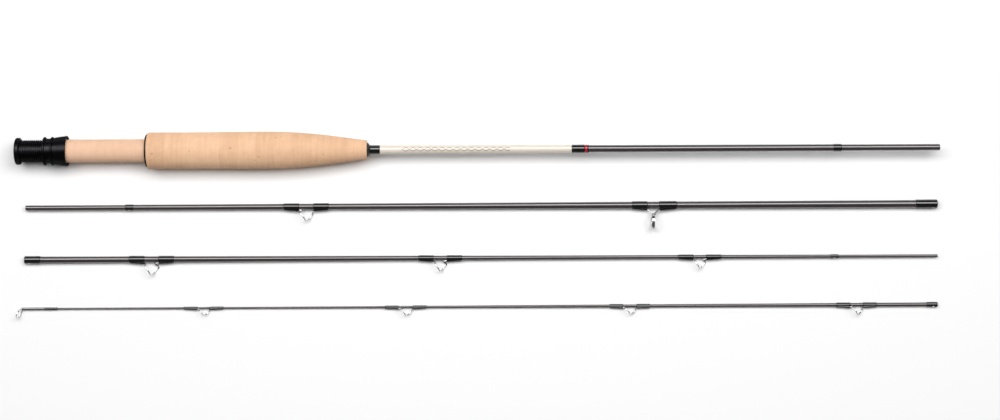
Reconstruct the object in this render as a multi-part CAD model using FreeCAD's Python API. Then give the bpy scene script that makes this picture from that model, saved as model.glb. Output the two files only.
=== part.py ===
import FreeCAD, Part
import math
import os

from FreeCAD import Placement, Rotation, Vector

# A four-piece fly rod, taken down, with its sections laid side by side.
# Millimetres. Each section is drawn along +X from its thick end, which is x = 0, with its guides
# towards +Z, and is then laid down in place. "Distance" always means along the section from there.

# Sections: overall lengths, and how far each one slides over the tip of the section below it
butt_length = 622.5
second_length = 618.0
third_length = 619.0
tip_length = 624.5
ferrule_overlap = 66.0
ferrule_clearance = 0.025
socket_spare_depth = 4.0

# Spigots, the walls of the hollow graphite blanks, and the bare blank between each shoulder and the
# mouth of the section pushed on above it
butt_spigot_diameter = 4.36
second_spigot_diameter = 3.6
third_spigot_diameter = 2.0
butt_wall = 0.8
second_wall = 0.5
third_wall = 0.42
tip_wall = 0.4
butt_shoulder_gap = 0.2
upper_shoulder_gap = 1.2

# Reel seat
cap_flange_diameter = 18.1
cap_flange_length = 3.0
cap_spigot_length = 7.0
cap_edge = 0.8
rim_chamfer = 0.3
thread_diameter = 15.1
thread_pitch = 1.4
thread_depth = 0.45
thread_root_share = 0.66
thread_crest_share = 0.2
thread_clearance = 0.06
thread_tube_bore = 12.6
thread_tube_end = 31.0
insert_diameter = 15.6
core_tube_diameter = 10.2
core_tube_bore = 8.2
arbor_length = 9.0
arbor_count = 3
nut_start = 18.7
nut_length = 6.6
nut_flange_diameter = 19.2
nut_flange_length = 1.5
nut_waist_diameter = 16.9
hood_length = 9.3
hood_rear_diameter = 18.1
hood_mouth_diameter = 20.6
hood_mouth_wall = 0.9
hood_collar_length = 3.5
slide_clearance = 0.08
nut_hood_gap = 0.05

# Fixed hood, sunk in the back of the grip
grip_start = 88.7
fixed_rim_diameter = 22.2
fixed_rim_length = 1.1
fixed_sleeve_diameter = 21.4
fixed_hood_depth = 15.0
fixed_hood_floor = 1.6
fixed_mouth_diameter = 19.6

# Cork grip: rings glued end to end, then turned to one outline (share of its length, diameter)
ring_count = 12
ring_length = 12.3
grip_outline = [(0.0, 24.6), (0.244, 24.6), (0.501, 25.1), (0.61, 24.7), (0.718, 22.9),
                (0.827, 19.5), (0.935, 15.3), (1.0, 12.9)]
grip_edge = 0.9

# Trim in front of the grip
check_length = 1.9
check_diameter = 9.4
check_land = 0.6
front_wrap_length = 6.8
label_length = 129.1
label_coat = 0.2
label_wrap_length = 8.9
red_band_length = 1.8
last_band_length = 0.9

# Thread wraps under their epoxy
wrap_thickness = 0.3
wrap_shoulder = 0.7
band_thickness = 0.2
insertion_ring_length = 5.6
dot_diameter = 1.5
dot_thickness = 0.1
second_ferrule_wrap = 14.7
third_ferrule_wrap = 10.9
tip_ferrule_wrap = 7.5

# Snake guides: distance as a share of the section's length, height of the top of the loop over the
# blank's axis, half width, gap between the feet, wire diameter
second_snakes = [(0.6927, 10.3, 3.2, 9.5, 0.9)]
third_snakes = [(0.1389, 11.2, 3.4, 9.3, 0.9), (0.4549, 9.5, 3.0, 8.6, 0.85), (0.7393, 8.6, 2.7, 8.3, 0.8)]
tip_snakes = [(0.0881, 7.8, 2.5, 8.4, 0.75), (0.3347, 6.3, 2.1, 8.8, 0.7),
              (0.5781, 6.5, 2.1, 9.3, 0.7), (0.7974, 5.7, 1.9, 8.1, 0.65)]
snake_wrap_length = 10.6
tip_snake_wrap_length = 9.5
foot_short_of_wrap = 1.2
foot_toe_width = 1.5
foot_toe_thickness = 0.35
foot_bite = 0.12
foot_root_swell = 1.25
foot_root_inset = 0.6

# Stripping guide: a polished ring in a wire frame, two legs towards the butt and one brace
stripping_distance = 193.2
stripping_height = 11.5
frame_outer_diameter = 11.2
frame_inner_diameter = 9.3
frame_ring_length = 1.3
line_ring_bore = 7.4
line_ring_length = 1.9
line_ring_land = 0.9
stripping_wire = 0.95
stripping_tongue = 1.2
stripping_near_gap = 4.4
stripping_far_gap = 3.5
stripping_near_wrap = 12.1
stripping_far_wrap = 10.7
leg_spread = 3.2

# Tip-top: a tube over the tip, with a leaning pear-shaped loop brazed to its end
tip_tube_diameter = 1.75
tip_tube_length = 16.5
tip_tube_socket = 9.0
tip_wrap_length = 9.3
tip_wrap_over_tube = 1.6
loop_length = 7.7
loop_half_width = 2.8
loop_lean = 24.0
loop_wire = 0.75

# How the sections lie: spacing of their axes, and how far each one is rolled so that its guides rest
spacing_butt_second = 38.1
spacing_second_third = 35.2
spacing_third_tip = 33.1
butt_roll = -90.0
second_roll = 13.0
third_roll = 11.0
tip_roll = 30.0

# Places that follow from the sizes above
grip_length = ring_count * ring_length
butt_shoulder = butt_length - ferrule_overlap - butt_shoulder_gap
second_shoulder = second_length - ferrule_overlap - upper_shoulder_gap
third_shoulder = third_length - ferrule_overlap - upper_shoulder_gap
tip_tube_end = tip_length - loop_length * math.sin(math.radians(loop_lean)) - loop_wire / 2
tip_tube_start = tip_tube_end - tip_tube_length
tip_blank_end = tip_tube_start + tip_tube_socket

# Outer diameter of each blank at distances from its thick end, ending at the shoulder of its spigot
butt_taper = [(cap_flange_length, 7.0), (238.0, 5.6), (398.0, 4.95), (butt_shoulder, 4.7)]
second_taper = [(0.0, 5.5), (160.0, 5.05), (310.0, 4.5), (second_shoulder, 3.9)]
third_taper = [(0.0, 4.8), (147.0, 4.05), (330.0, 3.0), (third_shoulder, 2.3)]
tip_taper = [(0.0, 2.95), (160.0, 2.3), (390.0, 1.45), (tip_tube_start, 1.2), (tip_blank_end, 1.2)]


def radius_at(taper, distance):
    """Outer radius of a tapered blank, straight between the places where its taper changes."""
    if distance <= taper[0][0]:
        return taper[0][1] / 2
    for (x0, d0), (x1, d1) in zip(taper, taper[1:]):
        if distance <= x1:
            return (d0 + (d1 - d0) * (distance - x0) / (x1 - x0)) / 2
    return taper[-1][1] / 2


def taper_points(taper, start, end, extra=0.0):
    """Points (distance, radius + extra) along the blank's surface from start to end."""
    distances = [start] + [x for x, _ in taper if start < x < end] + [end]
    return [(x, radius_at(taper, x) + extra) for x in distances]


def to_vector(point):
    return Vector(point[0], 0, point[1])


def lines(points):
    """Straight edges through points given as (distance, radius)."""
    vectors = [to_vector(p) for p in points]
    return [Part.LineSegment(a, b).toShape() for a, b in zip(vectors, vectors[1:])]


def arc(start, middle, end):
    return Part.Arc(to_vector(start), to_vector(middle), to_vector(end)).toShape()


def turned_edges(edges):
    """A solid of revolution about the X axis from a closed run of edges."""
    face = Part.Face(Part.Wire(edges))
    return face.revolve(Vector(0, 0, 0), Vector(1, 0, 0), 360)


def turned(points):
    """A solid of revolution about the X axis from a closed outline of (distance, radius) corners."""
    return turned_edges(lines(points + [points[0]]))


def rod(start, end, diameter):
    return Part.makeCylinder(diameter / 2, end - start, Vector(start, 0, 0), Vector(1, 0, 0))


def quarter(x0, r0, x1, r1, bulge):
    """A quarter-round shoulder between two points; bulge is 1 where it rises, -1 where it falls."""
    middle_share = math.sqrt(0.5)
    if bulge > 0:
        middle = (x1 - (x1 - x0) * middle_share, r0 + (r1 - r0) * middle_share)
    else:
        middle = (x0 + (x1 - x0) * middle_share, r1 + (r0 - r1) * middle_share)
    return arc((x0, r0), middle, (x1, r1))


def blank_envelope(taper, spigot_diameter, length):
    """The outside of a blank, solid, with the spigot's shoulder where its taper ends."""
    outline = [(taper[0][0], 0)] + [(x, d / 2) for x, d in taper]
    if spigot_diameter:
        shoulder = taper[-1][0]
        outline += [(shoulder, spigot_diameter / 2), (length, spigot_diameter / 2)]
    return turned(outline + [(outline[-1][0], 0)])


def blank(taper, spigot_diameter, length, wall, socket_diameter):
    """A hollow blank. The thick end is a plain socket where another section's spigot goes in."""
    outside = blank_envelope(taper, spigot_diameter, length)
    thick_end = taper[0][0]
    if socket_diameter:
        depth = ferrule_overlap + socket_spare_depth
        bore = [(thick_end, 0), (thick_end, socket_diameter / 2), (depth, socket_diameter / 2)]
    else:
        bore = [(thick_end, 0), (thick_end, radius_at(taper, thick_end) - wall)]
    for x, d in taper:
        if x > bore[-1][0] and d / 2 > wall:
            bore.append((x, d / 2 - wall))
    if spigot_diameter:
        bore[-1] = (bore[-1][0], spigot_diameter / 2 - wall)
        bore.append((length, spigot_diameter / 2 - wall))
    bore.append((bore[-1][0], 0))
    return outside.cut(turned(bore))


def thread_wrap(taper, start, length, thickness=wrap_thickness):
    """Thread wound on the blank under epoxy: a sleeve with rounded shoulders."""
    end = start + length
    shoulder = min(wrap_shoulder, length / 3)
    inner = taper_points(taper, start, end)
    crown = taper_points(taper, start + shoulder, end - shoulder, thickness)
    edges = [quarter(*inner[0], *crown[0], 1)]
    edges += lines(crown)
    edges += [quarter(*crown[-1], *inner[-1], -1)]
    edges += lines(inner[::-1])
    return turned_edges(edges)


def alignment_dot(distance, surface_radius):
    """A dot of white enamel on the guide side, following the round of the rod."""
    skin = rod(distance - dot_diameter, distance + dot_diameter, 2 * (surface_radius + dot_thickness))
    skin = skin.cut(rod(distance - dot_diameter, distance + dot_diameter, 2 * surface_radius))
    punch = Part.makeCylinder(dot_diameter / 2, 2 * surface_radius, Vector(distance, 0, 0), Vector(0, 0, 1))
    return skin.common(punch)


def swept_wire(points, diameter, along_start, along_end):
    """Round wire bent through points, leaving along the given directions."""
    curve = Part.BSplineCurve()
    curve.interpolate(Points=points, InitialTangent=along_start, FinalTangent=along_end)
    section = Part.Wire(Part.makeCircle(diameter / 2, points[0], along_start))
    return Part.Wire(curve.toShape()).makePipeShell([section], True, False)


def wire_seat(taper, distance, wire):
    """Height of a wire's axis where it lies on the blank, let in by the ground underside of its foot."""
    return radius_at(taper, distance) + wire / 2 - foot_bite


def ellipse_wire(centre, half_width, half_thickness):
    """An upright oval across the rod's axis; its width lies along Y and its seam at the bottom."""
    ellipse = Part.Ellipse(Vector(0, 0, 0), half_width, half_thickness)
    loop = Part.Wire(ellipse.toShape(-math.pi / 2, 3 * math.pi / 2))
    loop.Placement = Placement(centre, Rotation(Vector(0, 1, 0), Vector(0, 0, 1), Vector(1, 0, 0), "ZXY"))
    return loop


def toe_half_width_at(taper, toe):
    """Half the width of a foot's toe, which is never wider than the blank under it."""
    return min(foot_toe_width / 2, radius_at(taper, toe))


def foot(taper, root, towards, length, wire):
    """A guide's foot: the wire beaten flat towards its toe. towards is +1 or -1 along the rod."""
    toe = root + towards * length
    root_centre = Vector(root, 0, wire_seat(taper, root, wire))
    root_oval = ellipse_wire(root_centre, wire / 2 * foot_root_swell, wire / 2 * foot_root_swell * 0.97)
    toe_height = radius_at(taper, toe) + foot_toe_thickness / 2 - foot_bite
    toe_oval = ellipse_wire(Vector(toe, 0, toe_height), toe_half_width_at(taper, toe), foot_toe_thickness / 2)
    return Part.makeLoft([root_oval, toe_oval], True)


def foot_cover(taper, root, towards, length, wire):
    """The swelling of thread and epoxy over a guide's foot, without the sleeve around the blank."""
    toe = root + towards * length
    root_radius = wire / 2 + wrap_thickness
    toe_radius = foot_toe_thickness / 2 + wrap_thickness
    root_centre = Vector(root, 0, wire_seat(taper, root, wire))
    root_oval = ellipse_wire(root_centre, root_radius * foot_root_swell, root_radius)
    toe_height = radius_at(taper, toe) + foot_toe_thickness / 2 - foot_bite - wrap_thickness / 2
    toe_half_width = toe_half_width_at(taper, toe) + wrap_thickness
    toe_oval = ellipse_wire(Vector(toe, 0, toe_height), toe_half_width, toe_radius)
    return Part.makeLoft([root_oval, toe_oval], True)


def foot_wrap(taper, envelope, guide, root, towards, wrap_length, wire):
    """One guide wrap: a sleeve around the blank and the foot, bored for both."""
    start = min(root, root + towards * wrap_length)
    sleeve = thread_wrap(taper, start, wrap_length)
    cover = foot_cover(taper, root, towards, wrap_length - foot_short_of_wrap / 2, wire)
    return sleeve.fuse(cover).cut(envelope).cut(guide).removeSplitter()


def snake_guide(taper, envelope, distance, top, half_width, gap, wire, wrap_length):
    """A snake guide and its two wraps. The wire climbs from one foot, passes over the top crosswise
    and comes down on the other side, so that seen along the rod it closes into an oval."""
    low = wire_seat(taper, distance, wire)
    rise = top - wire / 2 - low
    steps = 8
    points = []
    for step in range(1, steps):
        turn = math.pi * step / steps
        along = -gap / 2 * math.cos(turn) * abs(math.cos(turn)) ** 0.6
        across = half_width * math.sin(2 * turn)
        points.append(Vector(distance + along, across, low + rise * math.sin(turn) ** 1.7))
    inset = wire * foot_root_inset
    roots = [distance - gap / 2 - inset, distance + gap / 2 + inset]
    ends = [Vector(x, 0, wire_seat(taper, x, wire)) for x in (roots[0] - wire, roots[1] + wire)]
    along_rod = Vector(1, 0, 0)
    body = swept_wire([ends[0]] + points + [ends[1]], wire, along_rod, along_rod)
    foot_length = wrap_length - foot_short_of_wrap - inset
    feet = [foot(taper, x, way, foot_length, wire) for x, way in zip(roots, (-1, 1))]
    guide = body.fuse(feet).cut(envelope).removeSplitter()
    edges = [distance - gap / 2, distance + gap / 2]
    wraps = [foot_wrap(taper, envelope, guide, x, way, wrap_length, wire) for x, way in zip(edges, (-1, 1))]
    return guide, Part.makeCompound(wraps)


def ring_solid(distance, height, outer_diameter, bore, length, land):
    """A ring around the line's path at the given height, its bore eased on both sides of a land."""
    outer = outer_diameter / 2
    inner = bore / 2
    ease = (length - land) / 2
    corner = ease * (1 - math.sqrt(0.5))
    right = (length / 2, inner + ease)
    left = (-length / 2, inner + ease)
    edges = lines([left, (-length / 2, outer), (length / 2, outer), right])
    edges += [arc(right, (length / 2 - corner, inner + corner), (land / 2, inner))]
    edges += lines([(land / 2, inner), (-land / 2, inner)])
    edges += [arc((-land / 2, inner), (-length / 2 + corner, inner + corner), left)]
    ring = turned_edges(edges)
    ring.translate(Vector(distance, 0, height))
    return ring


def strut(start, end, diameter):
    """A straight run of wire between two points."""
    return Part.makeCylinder(diameter / 2, (end - start).Length, start, end - start)


def stripping_guide(taper, envelope):
    """The stripping guide's frame, its line ring and its two wraps."""
    distance = stripping_distance
    wire = stripping_wire
    tongue = stripping_tongue
    band = ring_solid(distance, stripping_height, frame_outer_diameter, frame_inner_diameter,
                      frame_ring_length, frame_ring_length * 0.6)
    line_ring = ring_solid(distance, stripping_height, frame_inner_diameter, line_ring_bore,
                           line_ring_length, line_ring_land)
    band_radius = (frame_outer_diameter + frame_inner_diameter) / 4
    near_root = distance - stripping_near_gap
    far_root = distance + stripping_far_gap
    near_seat = wire_seat(taper, near_root, wire)
    far_seat = wire_seat(taper, far_root, wire)
    leg_top = stripping_height - math.sqrt(band_radius ** 2 - leg_spread ** 2)
    frame = foot(taper, near_root, -1, stripping_near_wrap - foot_short_of_wrap, tongue)
    for side in (-1, 1):
        leg_root = Vector(near_root - wire / 3, side * wire / 6, near_seat)
        frame = frame.fuse(strut(leg_root, Vector(distance, side * leg_spread, leg_top), wire))
    frame = frame.fuse(band)
    brace_top = Vector(distance, 0, stripping_height - band_radius)
    frame = frame.fuse(strut(Vector(far_root + wire / 3, 0, far_seat), brace_top, wire))
    frame = frame.fuse(foot(taper, far_root, 1, stripping_far_wrap - foot_short_of_wrap, wire))
    frame = frame.cut(envelope).cut(line_ring)
    wraps = [
        foot_wrap(taper, envelope, frame, near_root, -1, stripping_near_wrap, tongue),
        foot_wrap(taper, envelope, frame, far_root, 1, stripping_far_wrap, wire),
    ]
    return frame, line_ring, Part.makeCompound(wraps)


def tip_top():
    """The tip-top: tube and leaning loop, brazed into one piece."""
    lean = math.radians(loop_lean)
    tip_diameter = tip_taper[-1][1]
    tube = rod(tip_tube_start, tip_tube_end, tip_tube_diameter)
    tube = tube.cut(rod(tip_tube_start, tip_blank_end, tip_diameter))
    steps = 10
    points = []
    for step in range(steps):
        turn = 2 * math.pi * step / steps
        reach = loop_length * (1 - math.cos(turn)) / 2
        across = loop_half_width * math.sin(turn) * (1 - 0.25 * math.cos(turn))
        points.append(Vector(tip_tube_end + reach * math.sin(lean), across, reach * math.cos(lean)))
    curve = Part.BSplineCurve()
    curve.interpolate(Points=points, PeriodicFlag=True)
    start_direction = curve.tangent(curve.FirstParameter)[0]
    section = Part.Wire(Part.makeCircle(loop_wire / 2, points[0], start_direction))
    loop = Part.Wire(curve.toShape()).makePipeShell([section], True, False)
    return tube.fuse(loop).removeSplitter()


def helical_ridge(start, length, grow):
    """The ridge of the reel seat's screw thread, grown by a clearance on its flanks and crest."""
    root = thread_diameter / 2 - thread_depth
    low = root - thread_depth / 3
    crest = thread_diameter / 2 + grow
    base = thread_pitch * thread_root_share / 2 + grow
    top = thread_pitch * thread_crest_share / 2 + grow
    turns = [(low, -base), (crest, -top), (crest, top), (low, base), (low, -base)]
    corners = [Vector(r, 0, z) for r, z in turns]
    section = Part.makePolygon(corners)
    helix = Part.makeHelix(thread_pitch, length, root)
    ridge = Part.Wire(helix).makePipeShell([section], True, True)
    ridge.Placement = Placement(Vector(start, 0, 0), Rotation(Vector(0, 1, 0), 90))
    return ridge


def threaded_rod(start, end, grow):
    """A solid screw between two distances, cut square at both ends. All share one helix."""
    lead_in = math.floor((start - cap_flange_length) / thread_pitch) * thread_pitch - thread_pitch
    from_here = cap_flange_length + lead_in
    core = rod(start, end, thread_diameter - 2 * thread_depth + 2 * grow)
    ridge = helical_ridge(from_here, end - from_here + thread_pitch, grow)
    trim = rod(start, end, thread_diameter + 2)
    return core.fuse(ridge.common(trim))


def reel_seat():
    """Butt cap, threaded tube, core tube, cork insert, sliding hood, lock nut and fixed hood."""
    hood_start = nut_start + nut_length + nut_hood_gap
    hood_end = hood_start + hood_length
    fixed_start = grip_start - fixed_rim_length
    fixed_end = fixed_start + fixed_hood_depth
    cavity_end = fixed_end - fixed_hood_floor
    parts = {}

    flange = turned_edges(
        lines([(cap_edge, cap_flange_diameter / 2),
               (cap_flange_length - cap_edge / 2, cap_flange_diameter / 2),
               (cap_flange_length, cap_flange_diameter / 2 - cap_edge / 2),
               (cap_flange_length, 0), (0, 0), (0, cap_flange_diameter / 2 - cap_edge)])
        + [quarter(0, cap_flange_diameter / 2 - cap_edge, cap_edge, cap_flange_diameter / 2, 1)])
    plug = rod(cap_flange_length, cap_flange_length + cap_spigot_length, thread_tube_bore)
    recess = rod(cap_flange_length, cap_flange_length + cap_spigot_length, core_tube_diameter)
    parts["butt_cap"] = flange.fuse(plug.cut(recess)).removeSplitter()

    tube = threaded_rod(cap_flange_length, thread_tube_end, 0)
    parts["seat_threaded_tube"] = tube.cut(rod(cap_flange_length, thread_tube_end, thread_tube_bore))

    core_tube = rod(cap_flange_length, fixed_end, core_tube_diameter)
    parts["seat_core_tube"] = core_tube.cut(rod(cap_flange_length, fixed_end, core_tube_bore))

    envelope = blank_envelope(butt_taper, butt_spigot_diameter, butt_length)
    step = (fixed_end - cap_flange_length - arbor_length) / (arbor_count - 1)
    arbors = []
    for count in range(arbor_count):
        start = cap_flange_length + count * step
        arbors.append(rod(start, start + arbor_length, core_tube_bore).cut(envelope))
    parts["seat_arbors"] = Part.makeCompound(arbors)

    plug_end = cap_flange_length + cap_spigot_length
    tenon = rod(plug_end, thread_tube_end, thread_tube_bore)
    insert = rod(thread_tube_end, cavity_end, insert_diameter).fuse(tenon)
    parts["seat_cork_insert"] = insert.cut(rod(plug_end, cavity_end, core_tube_diameter))

    bore = max(insert_diameter, thread_diameter) / 2 + slide_clearance
    collar_end = hood_start + hood_collar_length
    mouth = hood_mouth_diameter / 2
    rear = hood_rear_diameter / 2
    hood = turned([(hood_start, bore), (hood_start, rear - rim_chamfer),
                   (hood_start + rim_chamfer, rear), (hood_end - rim_chamfer, mouth),
                   (hood_end, mouth - rim_chamfer), (hood_end, mouth - hood_mouth_wall),
                   (collar_end, bore)])
    parts["sliding_hood"] = hood

    nut_end = nut_start + nut_length
    rim = nut_flange_diameter / 2
    waist = nut_waist_diameter / 2
    round_off = nut_flange_length / 2
    first = nut_start + nut_flange_length
    second = nut_end - nut_flange_length
    peak = rim - round_off
    edges = lines([(nut_start, peak), (nut_start, 0), (nut_end, 0), (nut_end, peak)])
    edges += [arc((nut_end, peak), (nut_end - round_off, rim), (second, peak))]
    edges += lines([(second, peak), (second, waist), (first, waist), (first, peak)])
    edges += [arc((first, peak), (first - round_off, rim), (nut_start, peak))]
    nut = turned_edges(edges)
    parts["lock_nut"] = nut.cut(threaded_rod(nut_start, nut_end, thread_clearance))

    rim = fixed_rim_diameter / 2
    sleeve = fixed_sleeve_diameter / 2
    fixed = turned([(fixed_start, fixed_mouth_diameter / 2), (fixed_start, rim - rim_chamfer),
                    (fixed_start + rim_chamfer, rim), (grip_start, rim), (grip_start, sleeve),
                    (fixed_end, sleeve), (fixed_end, core_tube_diameter / 2),
                    (cavity_end, core_tube_diameter / 2), (cavity_end, insert_diameter / 2)])
    parts["fixed_hood"] = fixed
    return parts


def cork_grip(envelope):
    """Cork rings on the blank, bored for it and for the fixed hood, turned to one outline."""
    points = [Vector(grip_start + share * grip_length, 0, d / 2) for share, d in grip_outline]
    points[0] = Vector(grip_start + grip_edge, 0, grip_outline[0][1] / 2)
    end_edge = grip_edge / 2
    last = points[-1]
    points[-1] = Vector(last.x - end_edge, 0, last.z)
    curve = Part.BSplineCurve()
    curve.interpolate(Points=points, InitialTangent=Vector(1, 0, 0), FinalTangent=Vector(1, 0, -0.13))
    edges = [quarter(grip_start, grip_outline[0][1] / 2 - grip_edge, points[0].x, points[0].z, 1)]
    edges += [curve.toShape()]
    edges += [quarter(points[-1].x, last.z, last.x, last.z - end_edge, -1)]
    edges += lines([(last.x, last.z - end_edge), (last.x, 0), (grip_start, 0),
                    (grip_start, grip_outline[0][1] / 2 - grip_edge)])
    grip = turned_edges(edges)
    hood_end = grip_start - fixed_rim_length + fixed_hood_depth
    grip = grip.cut(rod(grip_start, hood_end, fixed_sleeve_diameter)).cut(envelope)
    rings = {}
    for count in range(ring_count):
        start = grip_start + count * ring_length
        slab = rod(start, start + ring_length, 2 * grip_outline[0][1])
        rings["grip_ring_%02d" % (count + 1)] = grip.common(slab)
    return rings


def band(taper, start, length, thickness):
    """A plain sleeve on the blank."""
    inner = taper_points(taper, start, start + length)
    outer = taper_points(taper, start, start + length, thickness)
    return turned(outer + inner[::-1])


def butt_section():
    parts = reel_seat()
    envelope = blank_envelope(butt_taper, butt_spigot_diameter, butt_length)
    parts["butt_blank"] = blank(butt_taper, butt_spigot_diameter, butt_length, butt_wall, 0)
    parts.update(cork_grip(envelope))
    x = grip_start + grip_length
    bore = taper_points(butt_taper, x, x + check_length)
    front = radius_at(butt_taper, x + check_length) + wrap_thickness
    parts["winding_check"] = turned([(x, check_diameter / 2), (x + check_land, check_diameter / 2),
                                     (x + check_length, front)] + bore[::-1])
    x += check_length
    parts["grip_front_wrap"] = thread_wrap(butt_taper, x, front_wrap_length)
    x += front_wrap_length
    parts["label_band"] = band(butt_taper, x, label_length, label_coat)
    x += label_length
    label_wrap = thread_wrap(butt_taper, x, label_wrap_length)
    x += label_wrap_length
    parts["red_trim_band"] = thread_wrap(butt_taper, x, red_band_length)
    x += red_band_length
    last_band = thread_wrap(butt_taper, x, last_band_length)
    parts["label_end_wrap"] = Part.makeCompound([label_wrap, last_band])
    ring, dot = insertion_ring(butt_taper)
    parts["butt_insertion_ring"] = ring
    parts["butt_dot"] = dot
    return parts


def insertion_ring(taper):
    """The short wrap at a spigot's shoulder, which shows how far the spigot goes in, and its dot."""
    shoulder = taper[-1][0]
    ring = thread_wrap(taper, shoulder - insertion_ring_length, insertion_ring_length, band_thickness)
    centre = shoulder - insertion_ring_length / 2
    return ring, alignment_dot(centre, radius_at(taper, centre) + band_thickness)


def ferrule_trim(taper, wrap_length):
    """The wrap around a socket's mouth, with its dot."""
    mouth = taper[0][0]
    wrap = thread_wrap(taper, mouth, wrap_length)
    dot_place = mouth + wrap_shoulder + dot_diameter * 1.5
    return wrap, alignment_dot(dot_place, radius_at(taper, dot_place) + wrap_thickness)


def guided_section(name, taper, length, wall, spigot_diameter, socket_diameter, wrap_length,
                   snakes, snake_wrap):
    """One upper section with its blank, trim and snake guides."""
    envelope = blank_envelope(taper, spigot_diameter, length)
    parts = {name + "_blank": blank(taper, spigot_diameter, length, wall, socket_diameter)}
    wrap, dot = ferrule_trim(taper, wrap_length)
    parts[name + "_ferrule_wrap"] = wrap
    parts[name + "_dots"] = dot
    if spigot_diameter:
        ring, second_dot = insertion_ring(taper)
        parts[name + "_insertion_ring"] = ring
        parts[name + "_dots"] = Part.makeCompound([dot, second_dot])
    for count, (share, top, half_width, gap, wire) in enumerate(snakes, 1):
        place = share * length
        guide, wraps = snake_guide(taper, envelope, place, top, half_width, gap, wire, snake_wrap)
        parts["%s_snake_guide_%d" % (name, count)] = guide
        parts["%s_snake_wraps_%d" % (name, count)] = wraps
    return parts, envelope


def second_section():
    socket = butt_spigot_diameter + 2 * ferrule_clearance
    parts, envelope = guided_section(
        "second", second_taper, second_length, second_wall, second_spigot_diameter, socket,
        second_ferrule_wrap, second_snakes, snake_wrap_length)
    frame, ring, wraps = stripping_guide(second_taper, envelope)
    parts["stripping_guide_frame"] = frame
    parts["stripping_guide_ring"] = ring
    parts["stripping_guide_wraps"] = wraps
    return parts


def third_section():
    socket = second_spigot_diameter + 2 * ferrule_clearance
    parts, _ = guided_section(
        "third", third_taper, third_length, third_wall, third_spigot_diameter, socket,
        third_ferrule_wrap, third_snakes, snake_wrap_length)
    return parts


def tip_section():
    socket = third_spigot_diameter + 2 * ferrule_clearance
    parts, envelope = guided_section(
        "tip", tip_taper, tip_length, tip_wall, 0, socket, tip_ferrule_wrap, tip_snakes,
        tip_snake_wrap_length)
    parts["tip_top"] = tip_top()
    wrap_end = tip_tube_start + tip_wrap_over_tube
    wrap = thread_wrap(tip_taper, wrap_end - tip_wrap_length, tip_wrap_length)
    parts["tip_top_wrap"] = wrap.cut(rod(tip_tube_start, wrap_end, tip_tube_diameter))
    return parts


def lay_down(parts, roll, thick_end_left, axis_y, half_length, length):
    """Roll a section, turn it end for end if its thick end lies to the right, and set it down.
    The sections' right-hand ends are in line, and each rests on its lowest point."""
    if thick_end_left:
        turn = Rotation(Vector(1, 0, 0), 90 - roll)
        thick_end_x = half_length - length
    else:
        turn = Rotation(Vector(0, 0, 1), 180) * Rotation(Vector(1, 0, 0), roll - 90)
        thick_end_x = half_length
    turned_parts = {}
    for name, shape in parts.items():
        placed = shape.copy()
        placed.Placement = Placement(Vector(thick_end_x, axis_y, 0), turn) * placed.Placement
        turned_parts[name] = placed
    lowest = min(part.optimalBoundingBox(False).ZMin for part in turned_parts.values())
    for placed in turned_parts.values():
        placed.translate(Vector(0, 0, -lowest))
    return turned_parts, -lowest


half_length = max(butt_length, second_length, third_length, tip_length) / 2
second_y = -spacing_butt_second
third_y = second_y - spacing_second_third
tip_y = third_y - spacing_third_tip
laid = {}
heights = {}
for label, parts, roll, thick_end_left, axis_y, length in [
        ("butt", butt_section(), butt_roll, True, 0.0, butt_length),
        ("second", second_section(), second_roll, False, second_y, second_length),
        ("third", third_section(), third_roll, True, third_y, third_length),
        ("tip", tip_section(), tip_roll, False, tip_y, tip_length)]:
    placed, heights[label] = lay_down(parts, roll, thick_end_left, axis_y, half_length, length)
    laid.update(placed)

# Put the origin under the middle of the whole
boxes = [shape.optimalBoundingBox(False) for shape in laid.values()]
middle = Vector((min(b.XMin for b in boxes) + max(b.XMax for b in boxes)) / 2,
                (min(b.YMin for b in boxes) + max(b.YMax for b in boxes)) / 2, 0)
os.makedirs("parts", exist_ok=True)
for name, shape in laid.items():
    shape.translate(middle * -1)
    shape.exportStep("parts/%s.step" % name)

print("origin moved by", tuple(round(-v, 3) for v in middle))
print("axis heights", {label: round(height, 3) for label, height in heights.items()})
print(len(laid), "nodes")
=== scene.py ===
import math

import bpy
import numpy as np
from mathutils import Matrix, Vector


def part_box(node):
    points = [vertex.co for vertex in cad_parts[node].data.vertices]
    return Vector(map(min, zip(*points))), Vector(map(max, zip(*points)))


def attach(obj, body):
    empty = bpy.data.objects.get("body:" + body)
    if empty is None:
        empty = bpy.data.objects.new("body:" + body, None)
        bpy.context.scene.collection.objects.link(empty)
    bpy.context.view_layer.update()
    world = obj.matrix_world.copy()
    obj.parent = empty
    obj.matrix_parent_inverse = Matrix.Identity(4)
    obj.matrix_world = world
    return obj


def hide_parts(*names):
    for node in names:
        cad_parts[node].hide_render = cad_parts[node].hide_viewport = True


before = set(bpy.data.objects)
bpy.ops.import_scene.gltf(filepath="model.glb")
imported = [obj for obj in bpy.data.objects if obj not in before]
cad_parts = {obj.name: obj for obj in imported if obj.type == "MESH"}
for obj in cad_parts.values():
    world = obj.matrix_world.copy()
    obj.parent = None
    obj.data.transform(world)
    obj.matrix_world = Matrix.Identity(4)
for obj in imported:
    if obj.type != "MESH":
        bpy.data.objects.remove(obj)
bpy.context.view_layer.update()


# ---- Blanks ----
# Four hollow tubes of graphite cloth, rolled on a tapered steel mandrel and baked. They are sanded,
# then dipped in clear varnish, so fine lengthwise fibres show under an even gloss.

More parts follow.
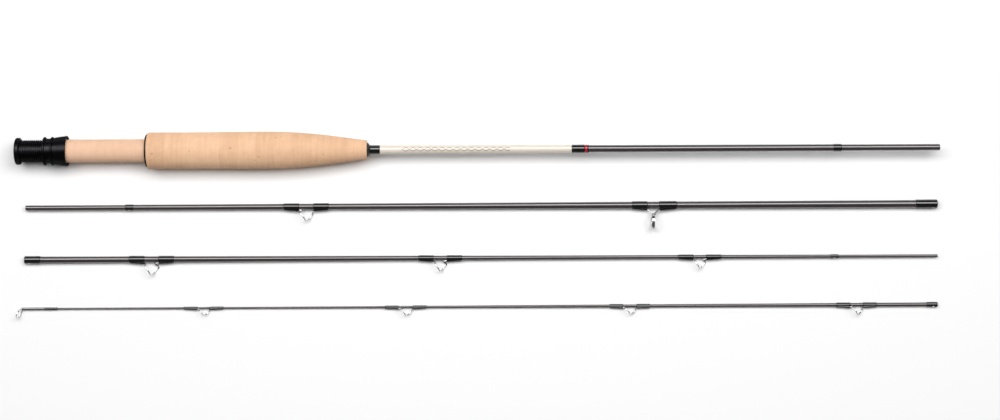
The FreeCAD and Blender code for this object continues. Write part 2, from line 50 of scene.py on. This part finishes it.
def material(name, colour, roughness, metallic=0.0, coat=0.0, coat_roughness=0.04):
    """A new finish: a Principled shader with its even values on its own sockets."""
    made = bpy.data.materials.new(name)
    made.use_nodes = True
    shader = made.node_tree.nodes["Principled BSDF"]
    shader.inputs["Base Color"].default_value = (*colour, 1.0)
    shader.inputs["Roughness"].default_value = roughness
    shader.inputs["Metallic"].default_value = metallic
    shader.inputs["Coat Weight"].default_value = coat
    shader.inputs["Coat Roughness"].default_value = coat_roughness
    shader.inputs["Coat IOR"].default_value = 1.7
    return made, made.node_tree, shader


def effect(name, inputs, outputs):
    """A shader node group whose sockets are given as names, inputs with their first values."""
    tree = bpy.data.node_groups.new(name, "ShaderNodeTree")
    for label, value in inputs.items():
        socket = tree.interface.new_socket(label, in_out="INPUT", socket_type="NodeSocketFloat")
        socket.default_value = value
    for label in outputs:
        tree.interface.new_socket(label, in_out="OUTPUT", socket_type="NodeSocketFloat")
    return tree, tree.nodes.new("NodeGroupInput"), tree.nodes.new("NodeGroupOutput")


def join(tree, source, target):
    """Links one node's output to another's input."""
    tree.links.new(source, target)


def sums(tree, operation, *terms):
    """A Math node; each term is a number or another node's output."""
    node = tree.nodes.new("ShaderNodeMath")
    node.operation = operation
    for socket, term in zip(node.inputs, terms):
        if isinstance(term, (int, float)):
            socket.default_value = term
        else:
            tree.links.new(term, socket)
    return node.outputs[0]


def place_on_object(tree, scale=(1.0, 1.0, 1.0), shift=(0.0, 0.0, 0.0)):
    """The point on the piece in the row frame, moved and then stretched."""
    where = tree.nodes.new("ShaderNodeTexCoord")
    mapping = tree.nodes.new("ShaderNodeMapping")
    mapping.inputs["Location"].default_value = [-s * k for s, k in zip(shift, scale)]
    mapping.inputs["Scale"].default_value = scale
    join(tree, where.outputs["Object"], mapping.inputs["Vector"])
    return mapping.outputs["Vector"]


def mottle(tree, vector, scale, detail=3.0, roughness=0.55):
    """Noise from 0 to 1 over a stretched point."""
    noise = tree.nodes.new("ShaderNodeTexNoise")
    noise.inputs["Scale"].default_value = scale
    noise.inputs["Detail"].default_value = detail
    noise.inputs["Roughness"].default_value = roughness
    join(tree, vector, noise.inputs["Vector"])
    return noise.outputs["Fac"]


def spread(tree, value, low, high, to_low, to_high):
    """Stretches a value from one range to another and holds it there."""
    node = tree.nodes.new("ShaderNodeMapRange")
    for label, term in (("Value", value), ("From Min", low), ("From Max", high),
                        ("To Min", to_low), ("To Max", to_high)):
        if isinstance(term, (int, float)):
            node.inputs[label].default_value = term
        else:
            join(tree, term, node.inputs[label])
    return node.outputs["Result"]


def blend_colours(tree, share, first, second):
    """Goes from the first colour to the second with a share from 0 to 1."""
    node = tree.nodes.new("ShaderNodeMix")
    node.data_type = "RGBA"
    join(tree, share, node.inputs["Factor"])
    for label, colour in (("A", first), ("B", second)):
        socket = [s for s in node.inputs if s.name == label and s.type == "RGBA"][0]
        if isinstance(colour, tuple):
            socket.default_value = (*colour, 1.0)
        else:
            join(tree, colour, socket)
    return [s for s in node.outputs if s.type == "RGBA"][0]


def use(tree, group, **values):
    """Puts an effect into a material with its own values."""
    node = tree.nodes.new("ShaderNodeGroup")
    node.node_tree = group
    for label, value in values.items():
        node.inputs[label].default_value = value
    return node


def raise_surface(tree, shader, height, strength, distance):
    """Feeds a height through a Bump node to the shader's normal."""
    bump = tree.nodes.new("ShaderNodeBump")
    bump.inputs["Strength"].default_value = strength
    bump.inputs["Distance"].default_value = distance
    join(tree, height, bump.inputs["Height"])
    join(tree, bump.outputs["Normal"], shader.inputs["Normal"])


def paint(made, *names):
    """Gives CAD nodes a finish."""
    for name in names:
        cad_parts[name].material_slots[0].material = made


# handling: soft smears that a hand and a cloth leave, as a roughness between two values
handling, given, given_out = effect("handling", {"Low": 0.1, "High": 0.3}, ["Roughness"])
smears = mottle(handling, place_on_object(handling, (90.0, 420.0, 420.0)), 1.0, 4.0)
join(handling, spread(handling, smears, 0.35, 0.7, given.outputs["Low"], given.outputs["High"]),
     given_out.inputs["Roughness"])

# drawn fibres: very fine lines along the rod, with the faint rings that the shrink tape leaves
fibres, _, fibres_out = effect("drawn_fibres", {}, ["Tone", "Height"])
lengthwise = mottle(fibres, place_on_object(fibres, (30.0, 5200.0, 5200.0)), 1.0, 2.0)
tape_rings = mottle(fibres, place_on_object(fibres, (900.0, 12.0, 12.0)), 1.0, 1.0)
join(fibres, sums(fibres, "MULTIPLY_ADD", lengthwise, 0.75, sums(fibres, "MULTIPLY", tape_rings, 0.25)),
     fibres_out.inputs["Tone"])
join(fibres, sums(fibres, "MULTIPLY_ADD", lengthwise, 0.4, tape_rings), fibres_out.inputs["Height"])

graphite, tree, shader = material("graphite", (0.02, 0.018, 0.018), 0.32, coat=1.0, coat_roughness=0.1)
cloth = use(tree, fibres)
tone = spread(tree, cloth.outputs["Tone"], 0.35, 0.65, 0.0, 1.0)
join(tree, blend_colours(tree, tone, (0.018, 0.012, 0.014), (0.046, 0.033, 0.037)),
     shader.inputs["Base Color"])
raise_surface(tree, shader, cloth.outputs["Height"], 0.35, 0.00002)
paint(graphite, "butt_blank", "second_blank", "third_blank", "tip_blank")


# ---- Reel seat ----
# An aluminium cap, a threaded tube, a lock nut and two hoods, turned and then anodised black.
# The cap and tube are glued over an inner tube; the nut screws along and pushes the sliding hood.

anodised, tree, shader = material("black_anodised", (0.02, 0.02, 0.021), 0.32, metallic=1.0)
shader.inputs["Specular Tint"].default_value = (0.45, 0.45, 0.45, 1.0)
turning = mottle(tree, place_on_object(tree, (9000.0, 60.0, 60.0)), 1.0, 2.0)
join(tree, blend_colours(tree, turning, (0.014, 0.014, 0.015), (0.022, 0.022, 0.024)),
     shader.inputs["Base Color"])
join(tree, use(tree, handling, Low=0.28, High=0.42).outputs["Roughness"], shader.inputs["Roughness"])
raise_surface(tree, shader, turning, 0.25, 0.00001)
paint(anodised, "butt_cap", "seat_threaded_tube", "sliding_hood", "lock_nut", "fixed_hood")

bare_tube, tree, shader = material("core_tube_metal", (0.55, 0.56, 0.58), 0.4, metallic=1.0)
join(tree, use(tree, handling, Low=0.3, High=0.5).outputs["Roughness"], shader.inputs["Roughness"])
paint(bare_tube, "seat_core_tube")

paper_tape, tree, shader = material("arbor_paper_tape", (0.62, 0.53, 0.36), 0.8)
crinkle = mottle(tree, place_on_object(tree, (2500.0, 500.0, 500.0)), 1.0, 4.0)
join(tree, blend_colours(tree, crinkle, (0.50, 0.42, 0.27), (0.70, 0.61, 0.43)),
     shader.inputs["Base Color"])
raise_surface(tree, shader, crinkle, 0.5, 0.00005)
paint(paper_tape, "seat_arbors")


# ---- Cork of the seat and grip ----
# Twelve rings punched from natural cork bark, glued face to face, and a longer cork sleeve for the
# seat. They are turned and sanded to one line, so pits and dark bark flecks lie open.

BUTT_AXIS = (0.05049, 0.01255)


def ring_skin(points):
    """A mesh over points[u, v] that closes in both directions, with its faces turned outwards:
    each grid cell becomes one quad, and all are turned over if the volume they hold is negative."""
    rows, columns = points.shape[:2]
    here = np.arange(rows * columns).reshape(rows, columns)
    below = np.roll(here, -1, axis=0)
    quads = np.stack([here, below, np.roll(below, -1, axis=1), np.roll(here, -1, axis=1)], axis=-1)
    quads = quads.reshape(-1, 4)
    flat = points.reshape(-1, 3)
    corner = flat[quads] - flat.mean(axis=0)
    held = np.einsum("ij,ij->", corner[:, 0], np.cross(corner[:, 1], corner[:, 2]))
    held += np.einsum("ij,ij->", corner[:, 0], np.cross(corner[:, 2], corner[:, 3]))
    if held < 0:
        quads = quads[:, ::-1]
    return flat, quads


def piece(name, parts, values=None):
    """One smooth object at the origin from skins made by ring_skin, with per-point values."""
    points = np.concatenate([flat for flat, _ in parts])
    starts = np.cumsum([0] + [len(flat) for flat, _ in parts[:-1]])
    quads = np.concatenate([quads + start for (_, quads), start in zip(parts, starts)])
    mesh = bpy.data.meshes.new(name)
    mesh.vertices.add(len(points))
    mesh.vertices.foreach_set("co", points.astype(np.float32).ravel())
    mesh.loops.add(quads.size)
    mesh.loops.foreach_set("vertex_index", quads.astype(np.int32).ravel())
    mesh.polygons.add(len(quads))
    mesh.polygons.foreach_set("loop_start", np.arange(0, quads.size, 4, dtype=np.int32))
    mesh.polygons.foreach_set("use_smooth", np.ones(len(quads), dtype=bool))
    mesh.update(calc_edges=True)
    for label, value in (values or {}).items():
        attribute = mesh.attributes.new(label, "FLOAT", "POINT")
        attribute.data.foreach_set("value", np.asarray(value, np.float32).ravel())
    made = bpy.data.objects.new(name, mesh)
    bpy.context.scene.collection.objects.link(made)
    return made


def points_of(node):
    """The corners of a CAD node's mesh."""
    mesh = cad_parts[node].data
    corners = np.empty(len(mesh.vertices) * 3, np.float32)
    mesh.vertices.foreach_get("co", corners)
    return corners.reshape(-1, 3).astype(float)


def turned_line(node, bored):
    """The outline of a turned CAD node outside the radius it is bored to: at each x, the largest
    distance from the butt section's axis."""
    corners = points_of(node)
    radius = np.hypot(corners[:, 1] - BUTT_AXIS[0], corners[:, 2] - BUTT_AXIS[1])
    kept = radius > bored
    x, where = np.unique(corners[kept, 0].round(6), return_inverse=True)
    largest = np.zeros(len(x))
    np.maximum.at(largest, where, radius[kept])
    return x, largest


def cork_sleeve(name, node, bored, pits, seed):
    """A turned cork sleeve. Its outside is r(x, a) = outline(x) - joint(x) - pits(x, a), where joint is
    a hairline dip at each glued face, and each pit is a bell of its own depth, length and width about
    a random point. Its inside is a plain cylinder, and flat faces close its ends."""
    draws = np.random.default_rng(seed)
    line_x, line_r = turned_line(node, bored)
    start, end = line_x[0], line_x[-1]
    x = np.linspace(start, end, min(round((end - start) / 0.0002), 240))
    angle = np.linspace(0, 2 * np.pi, 400, endpoint=False)
    outline = np.interp(x, line_x, line_r)
    joint_depth, joint_width = 0.00004, 0.00012
    edge = np.minimum(x - start, end - x)
    outline = outline - joint_depth * np.exp(-(edge / joint_width) ** 2)
    mean = outline.mean()
    at_x = draws.uniform(start, end, pits)
    at_angle = draws.uniform(0, 2 * np.pi, pits)
    smallest_pit = 0.00010
    size = draws.gamma(1.6, 0.00006, pits) + smallest_pit
    stretch = draws.uniform(0.6, 1.9, pits)
    depth = size * draws.uniform(0.2, 0.7, pits)
    pitted = np.zeros((len(x), len(angle)))
    for px, pa, ps, pw, pd in zip(at_x, at_angle, size, stretch, depth):
        along = (x - px) / (ps * pw)
        near = np.abs(along) < 3
        turn = np.angle(np.exp(1j * (angle - pa))) * mean / ps
        bell = np.exp(-(along[near, None] ** 2) - turn[None, :] ** 2)
        pitted[near] = np.maximum(pitted[near], pd * bell)
    radius = outline[:, None] - pitted
    least_wall, wide_bore = 0.0012, 0.008
    inner = np.full((2, len(angle)), bored if bored > wide_bore else line_r.min() - least_wall)
    rows = np.concatenate([radius, inner])
    row_x = np.concatenate([x, [end, start]])[:, None]
    skin = np.stack(np.broadcast_arrays(
        row_x, BUTT_AXIS[0] + rows * np.sin(angle), BUTT_AXIS[1] + rows * np.cos(angle)), axis=-1)
    depths = np.concatenate([pitted, np.zeros_like(inner)])
    fully_dark = 0.00016
    made = piece(name, [ring_skin(skin)], {
        "pit": np.clip(depths / fully_dark, 0, 1),
        "tone": np.full(depths.shape, draws.uniform(0, 1)),
    })
    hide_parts(node)
    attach(made, "butt_section")
    return made


# cork grain: cells, growth bands across the rod, cloudy patches and sparse dark bark flecks
grain, _, grain_out = effect("cork_grain", {}, ["Shade", "Fleck", "Height"])
cells = mottle(grain, place_on_object(grain), 2600.0, 3.0, 0.6)
bands = mottle(grain, place_on_object(grain, (620.0, 45.0, 45.0)), 1.0, 3.0)
clouds = mottle(grain, place_on_object(grain, (160.0, 160.0, 160.0)), 1.0, 4.0)
shade = sums(grain, "ADD", sums(grain, "MULTIPLY", bands, 0.40), sums(grain, "MULTIPLY", clouds, 0.35))
shade = sums(grain, "MULTIPLY_ADD", cells, 0.25, shade)
join(grain, spread(grain, shade, 0.38, 0.62, 0.0, 1.0), grain_out.inputs["Shade"])
speck = grain.nodes.new("ShaderNodeTexVoronoi")
speck.inputs["Scale"].default_value = 520.0
join(grain, place_on_object(grain, (1.0, 1.5, 1.5)), speck.inputs["Vector"])
sparse = spread(grain, clouds, 0.44, 0.62, 0.0, 1.0)
near_speck = spread(grain, speck.outputs["Distance"], 0.05, 0.16, 1.0, 0.0)
fleck = sums(grain, "MULTIPLY", near_speck, sparse)
join(grain, fleck, grain_out.inputs["Fleck"])
join(grain, sums(grain, "SUBTRACT", cells, fleck), grain_out.inputs["Height"])


def cork_finish(name, pale, deep, dark):
    """Matt sanded cork: pale and deep colours follow the grain and the ring's own tone, and pits and
    flecks go dark."""
    made, tree, shader = material(name, pale, 0.78)
    flesh = use(tree, grain)
    own = tree.nodes.new("ShaderNodeAttribute")
    own.attribute_name = "tone"
    pit = tree.nodes.new("ShaderNodeAttribute")
    pit.attribute_name = "pit"
    share = sums(tree, "MULTIPLY_ADD", own.outputs["Fac"], 0.50,
                 sums(tree, "MULTIPLY", flesh.outputs["Shade"], 0.56))
    body = blend_colours(tree, share, pale, deep)
    marks = sums(tree, "MAXIMUM", sums(tree, "MULTIPLY", flesh.outputs["Fleck"], 0.30),
                 sums(tree, "MULTIPLY", pit.outputs["Fac"], 0.55))
    join(tree, blend_colours(tree, marks, body, dark), shader.inputs["Base Color"])
    join(tree, use(tree, handling, Low=0.6, High=0.85).outputs["Roughness"], shader.inputs["Roughness"])
    raise_surface(tree, shader, flesh.outputs["Height"], 0.35, 0.00012)
    shader.inputs["Specular IOR Level"].default_value = 0.3
    return made


hood_rings, hood_bore, blank_bore = 2, 0.0108, 0.004
grip_cork = cork_finish("grip_cork_sanded", (0.86, 0.56, 0.355), (0.70, 0.42, 0.25), (0.20, 0.10, 0.055))
for number in range(1, 13):
    ring = cork_sleeve("cork_ring_%02d" % number, "grip_ring_%02d" % number,
                       hood_bore if number <= hood_rings else blank_bore, 34, 100 + number)
    ring.data.materials.append(grip_cork)

seat_cork = cork_finish("seat_cork_sanded", (0.88, 0.585, 0.415), (0.76, 0.48, 0.32), (0.26, 0.13, 0.08))
sleeve = cork_sleeve("cork_seat_sleeve", "seat_cork_insert", 0.0065, 46, 41)
sleeve.data.materials.append(seat_cork)


# ---- Trim in front of the grip ----
# A soft rubber check closes the grip, then thread under epoxy, an ivory enamelled length of blank with
# a plain braided ornament, and a closing wrap with a thin red band.

rubber, tree, shader = material("check_rubber_matt", (0.012, 0.012, 0.012), 0.55)
moulded = mottle(tree, place_on_object(tree), 3000.0, 3.0)
join(tree, spread(tree, moulded, 0.3, 0.7, 0.45, 0.65), shader.inputs["Roughness"])
raise_surface(tree, shader, moulded, 0.3, 0.00004)
paint(rubber, "winding_check")

# thread turns: turns of silk lie side by side across the rod, each one a small ridge
turns, given, turns_out = effect("thread_turns", {"Pitch": 0.00018}, ["Height", "Tone"])
along = turns.nodes.new("ShaderNodeSeparateXYZ")
join(turns, place_on_object(turns), along.inputs["Vector"])
phase = sums(turns, "DIVIDE", along.outputs["X"], given.outputs["Pitch"])
wave = sums(turns, "SINE", sums(turns, "MULTIPLY", phase, 2 * math.pi))
join(turns, sums(turns, "MULTIPLY_ADD", wave, 0.5, 0.5), turns_out.inputs["Height"])
join(turns, mottle(turns, place_on_object(turns, (5500.0, 300.0, 300.0)), 1.0, 2.0),
     turns_out.inputs["Tone"])


def thread_finish(name, dark, light, pitch):
    """Wound thread soaked in epoxy, under a clear level coat."""
    made, tree, shader = material(name, dark, 0.4, coat=1.0, coat_roughness=0.02)
    shader.inputs["Specular IOR Level"].default_value = 0.0
    silk = use(tree, turns, Pitch=pitch)
    tone = spread(tree, silk.outputs["Tone"], 0.3, 0.7, 0.0, 1.0)
    join(tree, blend_colours(tree, tone, dark, light), shader.inputs["Base Color"])
    raise_surface(tree, shader, silk.outputs["Height"], 0.4, 0.00003)
    return made


black_thread = thread_finish("black_thread_epoxy", (0.002, 0.0018, 0.0018), (0.005, 0.0045, 0.005), 0.00018)
red_thread = thread_finish("red_thread_epoxy", (0.34, 0.004, 0.014), (0.48, 0.010, 0.030), 0.00018)
paint(red_thread, "red_trim_band")
paint(black_thread, "grip_front_wrap", "label_end_wrap", "butt_insertion_ring",
      "second_ferrule_wrap", "second_insertion_ring", "third_ferrule_wrap", "third_insertion_ring",
      "tip_ferrule_wrap", "tip_top_wrap")

ivory, tree, shader = material("ivory_enamel_gloss", (0.84, 0.76, 0.66), 0.3, coat=0.3,
                               coat_roughness=0.06)
label_low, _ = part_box("label_band")
braid_start = label_low.x + 0.0150
braid_length = 0.0725
strand_swing, strand_turns = 0.0011, 640.0
apart = tree.nodes.new("ShaderNodeSeparateXYZ")
join(tree, place_on_object(tree, shift=(braid_start, *BUTT_AXIS)), apart.inputs["Vector"])
swing = sums(tree, "SINE", sums(tree, "MULTIPLY", apart.outputs["X"], strand_turns))
swing = sums(tree, "MULTIPLY", swing, strand_swing)
strands = []
for side in (1.0, -1.0):
    off = sums(tree, "SUBTRACT", apart.outputs["Y"], sums(tree, "MULTIPLY", swing, side))
    strands.append(spread(tree, sums(tree, "ABSOLUTE", off), 0.00014, 0.00027, 1.0, 0.0))
braid = sums(tree, "MAXIMUM", *strands)
inside = sums(tree, "MULTIPLY", sums(tree, "GREATER_THAN", apart.outputs["X"], 0.0),
              sums(tree, "LESS_THAN", apart.outputs["X"], braid_length))
braid = sums(tree, "MULTIPLY", braid, inside)
braid = sums(tree, "MULTIPLY", braid, sums(tree, "GREATER_THAN", apart.outputs["Z"], 0.0))
aged = mottle(tree, place_on_object(tree, (120.0, 400.0, 400.0)), 1.0, 3.0)
enamel = blend_colours(tree, aged, (0.79, 0.72, 0.63), (0.73, 0.65, 0.55))
join(tree, blend_colours(tree, sums(tree, "MULTIPLY", braid, 0.9), enamel, (0.16, 0.13, 0.12)),
     shader.inputs["Base Color"])
join(tree, use(tree, handling, Low=0.2, High=0.4).outputs["Roughness"], shader.inputs["Roughness"])
paint(ivory, "label_band")

dot_paint, tree, shader = material("dot_enamel", (0.85, 0.85, 0.83), 0.35, coat=0.6)
brushed = mottle(tree, place_on_object(tree), 2500.0, 3.0)
join(tree, blend_colours(tree, brushed, (0.88, 0.88, 0.86), (0.76, 0.76, 0.74)),
     shader.inputs["Base Color"])
raise_surface(tree, shader, brushed, 0.3, 0.00003)
paint(dot_paint, "butt_dot", "second_dots", "third_dots", "tip_dots")


# ---- Snake guides, stripping guide and tip-top ----
# Hard steel wire bent over a former, then polished bright. The wire's ends are ground flat to make
# feet, which lie on the blank. The stripping guide's ring is pressed into its frame.

steel, tree, shader = material("guide_wire_polished", (0.72, 0.72, 0.73), 0.14, metallic=1.0)
drawn = mottle(tree, place_on_object(tree), 1600.0, 3.0)
join(tree, blend_colours(tree, drawn, (0.66, 0.66, 0.67), (0.78, 0.78, 0.79)),
     shader.inputs["Base Color"])
join(tree, use(tree, handling, Low=0.08, High=0.2).outputs["Roughness"], shader.inputs["Roughness"])
raise_surface(tree, shader, drawn, 0.12, 0.00002)
GUIDES = {"second": 1, "third": 3, "tip": 4}
paint(steel, "stripping_guide_frame",
      *("%s_snake_guide_%d" % (name, k + 1) for name, count in GUIDES.items() for k in range(count)))

# the tip-top's tube is dull grey, and its loop is polished bright by the line
loop_steel, tree, shader = material("tip_top_steel", (0.72, 0.72, 0.73), 0.16, metallic=1.0)
apart = tree.nodes.new("ShaderNodeSeparateXYZ")
join(tree, place_on_object(tree), apart.inputs["Vector"])
loop_from, tube_from = -0.3092, -0.3086
tube_share = spread(tree, apart.outputs["X"], loop_from, tube_from, 0.0, 1.0)
join(tree, blend_colours(tree, tube_share, (0.72, 0.72, 0.73), (0.20, 0.20, 0.205)),
     shader.inputs["Base Color"])
paint(loop_steel, "tip_top")

ring_polish, tree, shader = material("line_ring_polish", (0.62, 0.60, 0.59), 0.22, metallic=1.0)
lapped = mottle(tree, place_on_object(tree), 2200.0, 2.0)
join(tree, blend_colours(tree, lapped, (0.58, 0.56, 0.55), (0.66, 0.64, 0.63)),
     shader.inputs["Base Color"])
join(tree, use(tree, handling, Low=0.18, High=0.28).outputs["Roughness"], shader.inputs["Roughness"])
paint(ring_polish, "stripping_guide_ring")


# ---- Guide wraps ----
# Thread wound tight over each foot and the blank together, then flooded with epoxy on a turner. The
# thread bridges from the foot to the blank, and the epoxy ends in round shoulders.

SECTION_AXES = {"second": (0.01239, 0.003065), "third": (-0.02281, 0.002714), "tip": (-0.05591, 0.00179)}


def guide_wrap(low, high, towards_loop, bore_low, bore_high, wire, axis, guide_turn):
    """One wrap between two places x. Across the rod its radius is the soft larger of the sleeve, which
    is the blank plus a thread, and of an oval around the foot. The oval is met by a ray from the
    axis: it is flat and low at the toe, and as thick as the wire where the loop leaves. Both sink to
    the blank over a quarter-round shoulder at each end."""
    thread, shoulder, soft, buried_by = 0.0003, 0.0007, 0.00012, 0.00015
    toe_half_width, toe_half_thick, foot_short, toe_run = 0.00075, 0.000175, 0.0012, 0.0014
    root_swell, bite = 1.25, 0.00012
    x = np.concatenate([
        low + shoulder * (1 - np.cos(np.linspace(0, np.pi / 2, 9))),
        np.linspace(low + shoulder, high - shoulder, 42)[1:-1],
        high - shoulder * (1 - np.cos(np.linspace(np.pi / 2, 0, 9))),
    ])
    angle = np.linspace(0, 2 * np.pi, 96, endpoint=False)
    blank = np.interp(x, [low, high], [bore_low, bore_high])
    edge = np.clip(np.minimum(x - low, high - x) / shoulder, 0, 1)
    level = np.sqrt(1 - (1 - edge) ** 2)
    toe = np.clip(((high - x) if towards_loop > 0 else (x - low)) / (high - low - foot_short), 0, 1)
    past_toe = np.clip(((x - low) if towards_loop > 0 else (high - x)) / toe_run, 0, 1)
    root_half_width = wire / 2 * root_swell
    root_half_thick = wire / 2 * 1.2
    half_width = root_half_width + (np.minimum(toe_half_width, blank) - root_half_width) * toe
    half_thick = root_half_thick + (toe_half_thick - root_half_thick) * toe
    height = blank + wire / 2 - bite + (toe_half_thick - wire / 2) * toe
    wide = (half_width + thread * level)[:, None]
    thick = ((half_thick + thread) * (0.25 + 0.75 * level) * (0.3 + 0.7 * past_toe))[:, None]
    height = (height * (0.75 + 0.25 * level))[:, None]
    s, c = np.sin(angle - guide_turn)[None, :], np.cos(angle - guide_turn)[None, :]
    a = (s / wide) ** 2 + (c / thick) ** 2
    b = c * height / thick ** 2
    under_root = b ** 2 - a * ((height / thick) ** 2 - 1)
    reach = np.where((under_root > 0) & (c > 0), (b + np.sqrt(np.maximum(under_root, 0))) / a, 0)
    sleeve = (blank + thread * level)[:, None]
    radius = sleeve + soft * np.logaddexp(0, (reach - sleeve) / soft)
    buried = np.stack([np.full(len(angle), bore_high - buried_by),
                       np.full(len(angle), bore_low - buried_by)])
    radius[0] = bore_low - 0.00005
    radius[-1] = bore_high - 0.00005
    rows = np.concatenate([radius, buried])
    row_x = np.concatenate([x, [x[-2], x[1]]])[:, None]
    return ring_skin(np.stack(np.broadcast_arrays(
        row_x, axis[0] + rows * np.sin(angle), axis[1] + rows * np.cos(angle)), axis=-1))


def wrap_pair(node, wires, guide_turn):
    """Both wraps of one guide, which take their places and bores from the CAD node they stand for."""
    section = node.split("_")[0] if "snake" in node else "second"
    axis = SECTION_AXES[section]
    corners = points_of(node)
    x = np.unique(corners[:, 0].round(6))
    split = np.argmax(np.diff(x))
    distance = np.hypot(corners[:, 1] - axis[0], corners[:, 2] - axis[1])
    skins = []
    for low_x, high_x, towards_loop, wire in ((x[0], x[split], 1, wires[0]),
                                              (x[split + 1], x[-1], -1, wires[1])):
        bores = [distance[np.abs(corners[:, 0] - place) < 2e-5].min() for place in (low_x, high_x)]
        skins.append(guide_wrap(low_x, high_x, towards_loop, *bores, wire, axis, guide_turn))
    made = piece(node + "_wound", skins)
    made.data.materials.append(black_thread)
    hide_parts(node)
    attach(made, section + "_section")


WIRES = {"second": [0.0009], "third": [0.0009, 0.00085, 0.0008], "tip": [0.00075, 0.0007, 0.0007, 0.00065]}
ROLLS = {"second": 13.0, "third": 11.0, "tip": 30.0}
for section, wires in WIRES.items():
    turn = math.radians(-90.0 + ROLLS[section])
    for k, wire in enumerate(wires):
        wrap_pair("%s_snake_wraps_%d" % (section, k + 1), (wire, wire), turn)
wrap_pair("stripping_guide_wraps", (0.00095, 0.0012), math.radians(-77.0))


# ---- Table, light and camera ----
# The four sections lie on a plain white table in a pale room. One softbox, overhead and a little
# beyond them, lights them; the other is seen only as the bright line along gloss.

bpy.ops.mesh.primitive_plane_add(size=8.0)
table = bpy.context.object
table.name = "table"
matt_white, tree, shader = material("table_white", (0.93, 0.93, 0.93), 0.9)
shader.inputs["Specular IOR Level"].default_value = 0.0
table.data.materials.append(matt_white)

room = bpy.data.worlds.new("pale_room")
room.use_nodes = True
room.node_tree.nodes["Background"].inputs["Color"].default_value = (1.0, 1.0, 1.0, 1.0)
room.node_tree.nodes["Background"].inputs["Strength"].default_value = 0.10
bpy.context.scene.world = room


def softbox(name, place, aim, width, depth, power):
    """A rectangular lamp at a place, turned to face a point."""
    lamp = bpy.data.lights.new(name, "AREA")
    lamp.shape = "RECTANGLE"
    lamp.size = width
    lamp.size_y = depth
    lamp.energy = power
    made = bpy.data.objects.new(name, lamp)
    bpy.context.scene.collection.objects.link(made)
    made.location = place
    away = np.array(place) - np.array(aim)
    made.rotation_euler = (math.atan2(-away[1], away[2]), 0.0, 0.0)
    return made


overhead = softbox("overhead_softbox", (0.0, 0.46, 1.49), (0.0, 0.0, 0.0), 2.4, 0.88, 36.0)
overhead.visible_glossy = False
sheen = softbox("sheen_softbox", (0.0, 0.66, 1.35), (0.0, 0.0, 0.0), 2.4, 0.8, 36.0)
sheen.visible_diffuse = False

camera = bpy.data.objects.new("camera", bpy.data.cameras.new("camera"))
bpy.context.scene.collection.objects.link(camera)
camera.location = (0.00872, -0.00975, 1.46071)
camera.rotation_euler = (0.01329, -0.00457, -0.00474)
camera.data.lens = 77.366
camera.data.sensor_width = 36.0
bpy.context.scene.camera = camera
bpy.context.scene.view_settings.view_transform = "Standard"
